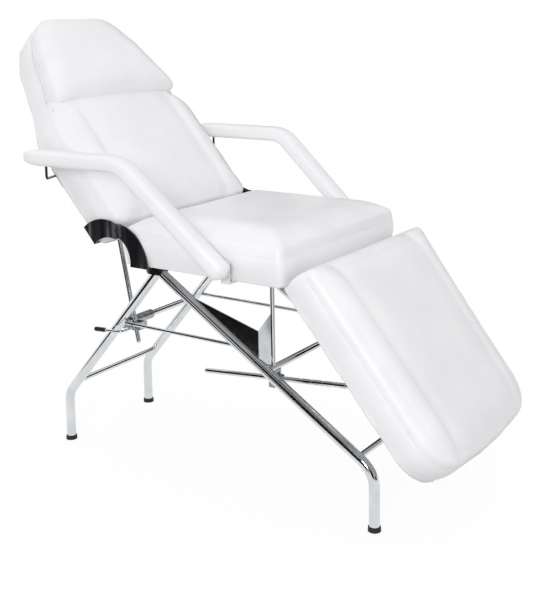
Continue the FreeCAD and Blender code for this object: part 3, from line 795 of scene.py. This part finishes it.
@dataclass
class Pad:
    """A padded section: crowned top, soft rim, slightly bulging sides and a flat base."""

    name: str
    node: str
    body: Body
    outline: Outline
    rest: Matrix
    base: float = BOARD_BOTTOM - 0.5
    thick: float = PAD_THICK
    crown: float = 16.0
    shoulder: float = 80.0
    rim: float = 16.0
    waist: float = -5.0
    cap: float = 7.0
    voxel: float = 6.0
    pressure: float = 4.0
    fill: float = 0.9
    seams: tuple[tuple[float, float], ...] = ()
    sides: tuple[float, float, float, float] | None = None
    groove: float = 0.9
    welt: float = 1.1
    fold: float = 95.0
    fold_depth: float = 3.6
    roll: float = 0.0
    crease: float | None = None
    squeeze: tuple[str, float] | None = None
    pieces: list[Any] = field(default_factory=list)

    def profile(self) -> list[tuple[float, float]]:
        """Returns heights above the base with insets, from base to crown, in mm."""
        rows = list(LOWER_EDGE)
        low, high = LOWER_EDGE[-1][0], self.thick - self.rim
        for k in range(1, SIDE_STEPS):
            share = k / SIDE_STEPS
            rows.append((low + (high - low) * share, self.waist * math.sin(math.pi * share)))
        for k in range(RIM_STEPS + 1):
            a = math.pi / 2 * k / RIM_STEPS
            rows.append((high + self.rim * math.sin(a), self.rim * (1 - math.cos(a))))
        _, half_x, half_y = self.outline.limits()
        reach = min(half_x, half_y) - self.rim
        for k in range(1, CROWN_STEPS + 1):
            share = k / CROWN_STEPS
            climb = min(1.0, share * reach / self.shoulder)
            lift = CROWN_EDGE * climb * (2 - climb) + CROWN_MIDDLE * share * (2 - share)
            inset = self.rim + reach * share * CROWN_REACH
            rows.append((self.thick + self.crown * lift, inset))
        return rows

    def shell(self) -> Any:
        """Builds the closed pad in flat position and returns its mesh."""
        rings = []
        for height, inset in self.profile():
            z = (self.base + height) * MM
            rings.append([Vector((x * MM, y * MM, z)) for x, y in self.outline.ring(inset)])
        return skin_rings(self.name, rings)

    def build(self, finishes: Finishes) -> list[Any]:
        """Makes the pad and its seams.

        Args:
            finishes: The bed's finishes.

        Returns:
            The pad first, then its seam welts.
        """
        pad = place_object(self.name, self.shell())
        remesh(pad, self.voxel)
        swell(pad, self.pressure, self.cap, self.base)
        smooth(pad, SMOOTH_ROUNDS)
        self.pull_folds(pad)
        lines = [self.seam_line(pad, height, inset) for height, inset in self.seams]
        for line in lines:
            press_groove(pad, line, GROOVE_REACH, self.groove)
        pad.data.transform(self.rest)
        pad.data.update()
        shade_smooth(pad.data)
        finishes.dress(pad, "white_leather")
        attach(pad, self.body.value)
        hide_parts(self.node)
        self.pieces = [pad]
        for number, line in enumerate(lines):
            course = [self.rest @ point for point in line]
            welt = closed_tube(f"{self.name}_welt_{number}", course, self.welt)
            finishes.dress(welt, "white_leather")
            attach(welt, self.body.value)
            self.pieces.append(welt)
        if self.squeeze:
            self.give_way(*self.squeeze)
        return self.pieces

    def give_way(self, joint: str, keep: float) -> None:
        """Gives each piece of the pad its own copy of its mesh.

        Args:
            joint: Name of the joint; not used.
            keep: Share of the length that is left; not used.
        """
        for piece in self.pieces:
            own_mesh(piece)

    def fold_move(self, x: float, y: float) -> float:
        """Finds how the fold inside each side moves the cover.

        Args:
            x: Plan point along the section in mm.
            y: Plan point across it in mm.

        Returns:
            Movement upwards in mm.
        """
        x0, half0, x1, half1 = self.sides
        off = half0 + (half1 - half0) * (x - x0) / (x1 - x0) - abs(y) - self.fold
        width = FOLD_OUTER if off < 0 else FOLD_INNER
        side_roll = ROLL_LIFT * math.exp(-(((off + 0.5 * self.fold) / ROLL_WIDTH) ** 2))
        return (side_roll - math.exp(-((off / width) ** 2))) * self.fold_depth

    def front_drop(self, past: float, height: float) -> float:
        """Finds how far the rounded front edge sinks.

        Args:
            past: Distance past the start of the rounding in mm.
            height: Height above the base as a share of the thickness.

        Returns:
            Drop in mm.
        """
        share = min(1.0, past / self.roll)
        arc = 1 - math.sqrt(1 - FRONT_ARC * share * share)
        return FRONT_DROP * self.roll * arc * max(0.0, height) ** 2

    def pull_folds(self, pad: Any) -> None:
        """Pulls the cover into soft folds at the sides and under a pillow, and rounds the front.

        Args:
            pad: The pad in flat position, changed in place.
        """
        top = (self.base + self.thick - 0.5 * self.rim) * MM
        front = max(c[0] for c in self.outline.corners)
        for vert in pad.data.vertices:
            x, y = vert.co.x / MM, vert.co.y / MM
            if self.sides and vert.co.z > top:
                vert.co.z += self.fold_move(x, y) * MM
            if self.crease is not None and vert.co.z > top:
                dip = math.exp(-(((x - self.crease) / CREASE_WIDTH) ** 2))
                vert.co.z -= CREASE_DEPTH * dip * MM
            past = x - front + self.roll
            if self.roll and past > 0:
                height = (vert.co.z / MM - self.base) / self.thick
                vert.co.z -= self.front_drop(past, height) * MM

    def seam_line(self, pad: Any, height: float, inset: float) -> list[Vector]:
        """Lays a seam on the swollen pad.

        Args:
            pad: The pad in flat position.
            height: Height above the base in mm.
            inset: Inset of the seam from the outline in mm.

        Returns:
            Points on the surface in metres, flat position.
        """
        graph = bpy.context.evaluated_depsgraph_get()
        tree = BVHTree.FromObject(pad, graph)
        z = (self.base + height) * MM
        out = []
        for x, y in self.outline.ring(inset):
            spot = tree.find_nearest(Vector((x * MM, y * MM, z)))[0]
            out.append(spot.copy())
        for _ in range(SEAM_ROUNDS):
            out = [(out[i - 1] + 2 * p + out[(i + 1) % len(out)]) / 4 for i, p in enumerate(out)]
        return out


@dataclass
class Upholstery:
    """The four pads of the bed, drawn flat, in mm."""

    seat: tuple[float, float] = (-176.0, 338.0)
    seat_front_round: float = 18.0
    edge_round: float = 12.0
    back_start: float = -193.0
    back_length: float = 716.0
    back_half: float = 305.0
    back_thick: float = 105.0
    back_round: float = 30.0
    shoulder: float = 352.0
    neck: float = 95.0
    neck_round: float = 90.0
    head_half: float = 258.0
    side_half: float = 208.0
    side_round: float = 70.0
    top_half: float = 140.0
    top_round: float = 60.0
    head_round: float = 110.0
    pillow_low: float = 78.0
    pillow_half: float = 272.0
    pillow_start: float = 410.0
    pillow_over: float = 6.0
    pillow_round: float = 24.0
    pillow_top_round: float = 78.0
    crease_lag: float = 3.0
    leg: tuple[float, float] = (327.0, 913.5)
    foot_half: float = 276.0
    foot_round: float = 104.0
    foot_flat: float = 60.0
    foot_bow: float = 16.0
    foot_bow_round: float = 300.0

    def back_plan(self) -> Outline:
        """Returns the backrest's plan: shoulders, neck and rounded head end."""
        x0 = self.back_start
        end = x0 - self.back_length
        return mirrored_plan(
            (
                (x0, -PAD_HALF, self.back_round),
                (x0 - self.shoulder, -self.back_half, self.neck_round),
                (x0 - self.shoulder - self.neck, -self.head_half, self.neck_round),
                (end + self.head_round, -self.side_half, self.side_round),
                (end, -self.top_half, self.top_round),
            )
        )

    def seat_plan(self) -> Outline:
        """Returns the seat's plan."""
        rear, front = self.seat
        return mirrored_plan(
            ((front, -PAD_HALF, self.seat_front_round), (rear, -PAD_HALF, self.edge_round))
        )

    def leg_plan(self) -> Outline:
        """Returns the leg rest's plan: tapered sides and a rounded foot end."""
        top, end = self.leg
        return mirrored_plan(
            (
                (end, -self.foot_flat, self.foot_bow_round),
                (end - self.foot_bow, -self.foot_half, self.foot_round),
                (top, -PAD_HALF, self.edge_round),
            )
        )

    def pillow_plan(self) -> Outline:
        """Returns the head pillow's plan, a little over the edges of the head end."""
        end = self.back_start - self.back_length
        over = self.pillow_over
        return mirrored_plan(
            (
                (self.back_start - self.pillow_start, -self.pillow_half, self.pillow_round),
                (end + self.head_round, -self.side_half - over, self.side_round),
                (end - over, -self.top_half - over, self.pillow_top_round),
            )
        )

    def pads(self) -> list[Pad]:
        """Returns the pads in building order."""
        flat = Matrix.Translation((SHIFT_X * MM, 0, 0))
        back_turn = turn_about(BACK_HINGE, BACK_ANGLE)
        leg_turn = turn_about(LEG_HINGE, LEG_ANGLE)
        seam = ((PAD_THICK - SEAM_DROP, 0.0),)
        back_end = self.back_start - self.back_length
        return [
            Pad(
                "seat_upholstery",
                "seat_cushion",
                Body.FRAME,
                self.seat_plan(),
                flat,
                thick=100.0,
                crown=29.0,
                shoulder=90.0,
                rim=12.0,
                seams=seam,
                roll=14.0,
            ),
            Pad(
                "back_upholstery",
                "back_cushion",
                Body.BACKREST,
                self.back_plan(),
                back_turn,
                thick=self.back_thick,
                rim=14.0,
                seams=seam,
                sides=(self.back_start, PAD_HALF, back_end, PAD_HALF),
                fold=102.0,
                crease=self.back_start - self.pillow_start + self.crease_lag,
            ),
            Pad(
                "leg_upholstery",
                "leg_cushion",
                Body.LEG_REST,
                self.leg_plan(),
                leg_turn,
                seams=seam,
                groove=2.4,
                welt=1.7,
                sides=(self.leg[0], PAD_HALF, self.leg[1], self.foot_half),
                squeeze=("leg_rest_tilt", 0.96),
            ),
            Pad(
                "head_upholstery",
                "head_pillow",
                Body.BACKREST,
                self.pillow_plan(),
                back_turn,
                base=BOARD_BOTTOM + self.pillow_low,
                thick=54.0,
                rim=15.0,
                waist=0.0,
                cap=6.0,
                seams=((5.0, 0.0), (16.0, 0.0)),
                groove=2.0,
                welt=1.7,
            ),
        ]

    def build(self, finishes: Finishes) -> None:
        """Builds and reports each pad.

        Args:
            finishes: The bed's finishes.
        """
        for pad in self.pads():
            for piece in pad.build(finishes):
                LOG.info("%s on %s", piece.name, pad.body.value)


@dataclass
class ArmPads:
    """Padded arms bent over a steel core, in mm."""

    side_y: float = 375.0
    half_width: float = 27.0
    half_height: float = 22.0
    rear_x: float = -456.0
    height: float = 904.0
    elbow_x: float = -100.0
    low: Point = (203.0, 343.0, 640.0)
    bend: float = 90.0
    rear_taper: float = 74.0
    low_round: float = 20.0
    tip: float = 0.22
    squareness: float = 0.55
    rear_steps: int = 30
    bend_steps: int = 12
    low_steps: int = 26
    around: int = 36

    def centre_line(self) -> list[tuple[Vector, Vector]]:
        """Returns points of the far arm's bent centre line with their directions, in mm."""
        a = Vector((self.rear_x, self.side_y, self.height))
        e = Vector((self.elbow_x, self.side_y, self.height))
        b = Vector(self.low)
        u, w = (a - e).normalized(), (b - e).normalized()
        half = u.angle(w) / 2
        cut = self.bend / math.tan(half)
        centre = e + (u + w).normalized() * (self.bend / math.sin(half))
        p, q = e + u * cut, e + w * cut
        out = [(a.lerp(p, k / self.rear_steps), -u) for k in range(self.rear_steps)]
        sweep = math.pi - 2 * half
        axis = (-u).cross(w)
        for k in range(self.bend_steps + 1):
            turn = Matrix.Rotation(sweep * k / self.bend_steps, 3, axis)
            out.append((centre + turn @ (p - centre), turn @ -u))
        out.extend((q.lerp(b, k / self.low_steps), w) for k in range(1, self.low_steps + 1))
        return out

    def section(self, share: float) -> tuple[float, float]:
        """Finds one point of the rounded section.

        Args:
            share: Way around the section, from zero to one.

        Returns:
            Shares of the half width and half height.
        """
        a = 2 * math.pi * share
        c, s = math.cos(a), math.sin(a)
        power = self.squareness
        return math.copysign(abs(c) ** power, c), math.copysign(abs(s) ** power, s)

    def build(self, finishes: Finishes) -> None:
        """Builds and reports both arms.

        Args:
            finishes: The bed's finishes.
        """
        for body, sign, label in ((Body.ARM_NEAR, -1.0, "near"), (Body.ARM_FAR, 1.0, "far")):
            pad = self.pad(f"arm_upholstery_{label}", sign)
            finishes.dress(pad, "white_leather")
            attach(pad, body.value)
            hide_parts(f"arm_pad_{label}")
            LOG.info("%s on %s", pad.name, body.value)

    def pad(self, name: str, sign: float) -> Any:
        """Sweeps one padded arm with a tapered rear tip and a rounded low end.

        Args:
            name: Name of the piece.
            sign: Side of the bed, minus one for the near side.

        Returns:
            The mesh object.
        """
        line = self.centre_line()
        runs = [0.0]
        for (p, _), (q, _) in zip(line, line[1:]):
            runs.append(runs[-1] + (q - p).length)
        rings = []
        for (point, along), run in zip(line, runs):
            edge = min(run / self.rear_taper, (runs[-1] - run) / self.low_round, 1.0)
            swell_share = self.tip + (1 - self.tip) * math.sqrt(1 - (1 - edge) ** 2)
            side = Vector((0, 0, 1)).cross(along).normalized()
            up = along.cross(side)
            wide, tall = self.half_width * swell_share, self.half_height * swell_share
            ring = []
            for k in range(self.around):
                across, above = self.section(k / self.around)
                spot = point + side * (across * wide) + up * (above * tall)
                ring.append(Vector((spot.x + SHIFT_X, sign * spot.y, spot.z)) * MM)
            rings.append(ring)
        mesh = skin_rings(name, rings)
        shade_smooth(mesh)
        return place_object(name, mesh)


@dataclass(frozen=True)
class Lamp:
    """A square soft lamp: place and target in metres, side in metres, power in watts."""

    name: str
    place: Point
    target: Point
    size: float
    power: float
    mirrored: bool = True

    def hang(self) -> None:
        """Puts the lamp in the scene."""
        data = bpy.data.lights.new(self.name, "AREA")
        data.size = self.size
        data.energy = self.power
        lamp = place_object(self.name, data)
        lamp.location = self.place
        aim = Vector(self.target) - Vector(self.place)
        lamp.rotation_euler = aim.to_track_quat("-Z", "Y").to_euler()
        lamp.visible_glossy = self.mirrored


@dataclass
class Studio:
    """White floor, soft lights and the camera of the photograph."""

    lens: float = 61.086
    sensor: float = 36.0
    place: Point = (1.653014, -2.2942, 1.2775)
    azimuth: float = 34.561
    elevation: float = 7.41
    roll: float = -0.969
    shift_y: float = -0.2533
    far: float = 50.0
    fill_colour: str = "FBFBFC"
    fill: float = 0.85
    floor_half: float = 9.0
    paper: float = 0.55
    glow: float = 1.13
    glow_share: float = 0.8
    card_grey: float = 0.01
    reach: float = 5.5
    flag_low: float = 0.05
    flag_top: float = 5.0
    ceiling: tuple[float, float, float, float, float] = (-4.0, -4.5, 4.0, 1.6, 5.2)
    floor_flag: tuple[float, float, float, float, float] = (-4.0, -5.0, 0.45, -0.95, 0.004)
    flags: tuple[tuple[float, float], ...] = (
        (-150, -112),
        (-104, -70),
        (-60, -24),
        (-14, 22),
        (34, 70),
        (84, 130),
    )
    lamps: tuple[Lamp, ...] = (
        Lamp("key", (1.7, -3.7, 1.9), (0.0, 0.0, 0.6), 1.0, 50.0),
        Lamp("top", (-0.2, 0.2, 3.4), (-0.1, 0.1, 0.6), 2.0, 4.0, mirrored=False),
    )

    def camera(self) -> None:
        """Creates the camera at the photograph's place."""
        data = bpy.data.cameras.new("camera")
        data.lens = self.lens
        data.sensor_width = self.sensor
        data.shift_y = self.shift_y
        data.clip_end = self.far
        cam = place_object("camera", data)
        a, e, r = (math.radians(v) for v in (self.azimuth, self.elevation, self.roll))
        back = Vector((math.sin(a) * math.cos(e), -math.cos(a) * math.cos(e), math.sin(e)))
        right = Vector((math.cos(a), math.sin(a), 0.0))
        up = back.cross(right)
        c, s = math.cos(r), math.sin(r)
        rolled_right = right * c + up * s
        rolled_up = up * c - right * s
        turn = Matrix((rolled_right, rolled_up, back)).transposed().to_4x4()
        cam.matrix_world = Matrix.Translation(self.place) @ turn
        bpy.context.scene.camera = cam

    def seen_white(self, tree: Any) -> Any:
        """Tells rays that look at the background from rays that light the bed.

        Args:
            tree: Node tree that takes the nodes.

        Returns:
            Output socket, one for camera, mirror and glass rays.
        """
        path = add_node(tree, "ShaderNodeLightPath").outputs
        seen = path["Is Camera Ray"]
        for kind in ("Is Glossy Ray", "Is Transmission Ray"):
            either = add_node(tree, "ShaderNodeMath", {0: seen, 1: path[kind]}, operation="MAXIMUM")
            seen = either.outputs[0]
        return seen

    def world(self) -> None:
        """Sets a white surround that lights the bed softly."""
        world = bpy.data.worlds.new("studio")
        bpy.context.scene.world = world
        tree = empty_tree(world)
        seen = add_node(tree, "ShaderNodeBackground", {"Color": grey(1.0), "Strength": 1.0})
        fill = add_node(
            tree,
            "ShaderNodeBackground",
            {"Color": linear(self.fill_colour), "Strength": self.fill},
        )
        mix = add_node(
            tree,
            "ShaderNodeMixShader",
            {0: self.seen_white(tree), 1: fill.outputs[0], 2: seen.outputs[0]},
        )
        add_node(tree, "ShaderNodeOutputWorld", {"Surface": mix.outputs[0]})

    def sheet(self, name: str, finish: str, corners: Sequence[Point]) -> tuple[Any, Any]:
        """Makes a flat sheet with an empty material.

        Args:
            name: Name of the sheet.
            finish: Name of its material.
            corners: Four corners in metres.

        Returns:
            The object and its material's node tree.
        """
        mesh = bpy.data.meshes.new(name)
        mesh.from_pydata(list(corners), [], [(0, 1, 2, 3)])
        material = bpy.data.materials.new(finish)
        mesh.materials.append(material)
        return place_object(name, mesh), empty_tree(material)

    def floor(self) -> None:
        """Lays a pale floor that keeps the bed's shadow."""
        h = self.floor_half
        corners = ((-h, -h, 0), (h, -h, 0), (h, h, 0), (-h, h, 0))
        floor, tree = self.sheet("floor", "white_paper_sweep", corners)
        paper = add_node(tree, "ShaderNodeBsdfDiffuse", {"Color": grey(self.paper)})
        glow = add_node(
            tree, "ShaderNodeEmission", {"Color": grey(1.0), "Strength": self.glow}
        )
        lift = add_node(
            tree,
            "ShaderNodeMath",
            {0: self.seen_white(tree), 1: self.glow_share},
            operation="MULTIPLY",
        )
        mix = add_node(
            tree,
            "ShaderNodeMixShader",
            {0: lift.outputs[0], 1: paper.outputs[0], 2: glow.outputs[0]},
        )
        add_node(tree, "ShaderNodeOutputMaterial", {"Surface": mix.outputs[0]})

    def card(self, name: str, corners: Sequence[Point]) -> None:
        """Stands a dark card that only mirrors in the chrome.

        Args:
            name: Name of the card.
            corners: Four corners in metres.
        """
        card, tree = self.sheet(name, "black_flag_cloth", corners)
        cloth = add_node(
            tree, "ShaderNodeEmission", {"Color": grey(self.card_grey), "Strength": 1.0}
        )
        add_node(tree, "ShaderNodeOutputMaterial", {"Surface": cloth.outputs[0]})
        card.visible_camera = False
        card.visible_diffuse = False
        card.visible_shadow = False
        card.visible_transmission = False

    def cards(self) -> None:
        """Stands cards around the bed, one above it and one on the floor."""
        low, high = Vector((0, 0, self.flag_low)), Vector((0, 0, self.flag_top))
        for number, span in enumerate(self.flags):
            turns = [math.radians(v) for v in span]
            a, b = (Vector((math.cos(v), math.sin(v), 0.0)) * self.reach for v in turns)
            self.card(f"flag_{number}", (a + low, b + low, b + high, a + high))
        for label, area in (("flag_ceiling", self.ceiling), ("flag_floor", self.floor_flag)):
            x0, y0, x1, y1, z = area
            self.card(label, ((x0, y0, z), (x1, y0, z), (x1, y1, z), (x0, y1, z)))

    def build(self) -> None:
        """Sets up the whole studio."""
        bpy.context.scene.view_settings.view_transform = "Standard"
        self.camera()
        self.world()
        self.floor()
        for lamp in self.lamps:
            lamp.hang()
        self.cards()


def main() -> None:
    """Builds the dressed bed and its studio."""
    logging.basicConfig(level=logging.INFO, format="%(name)s: %(message)s")
    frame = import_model()
    finishes = Finishes()
    finishes.dress_frame(frame)
    Upholstery().build(finishes)
    ArmPads().build(finishes)
    Studio().build()


if __name__ == "__main__":
    main()
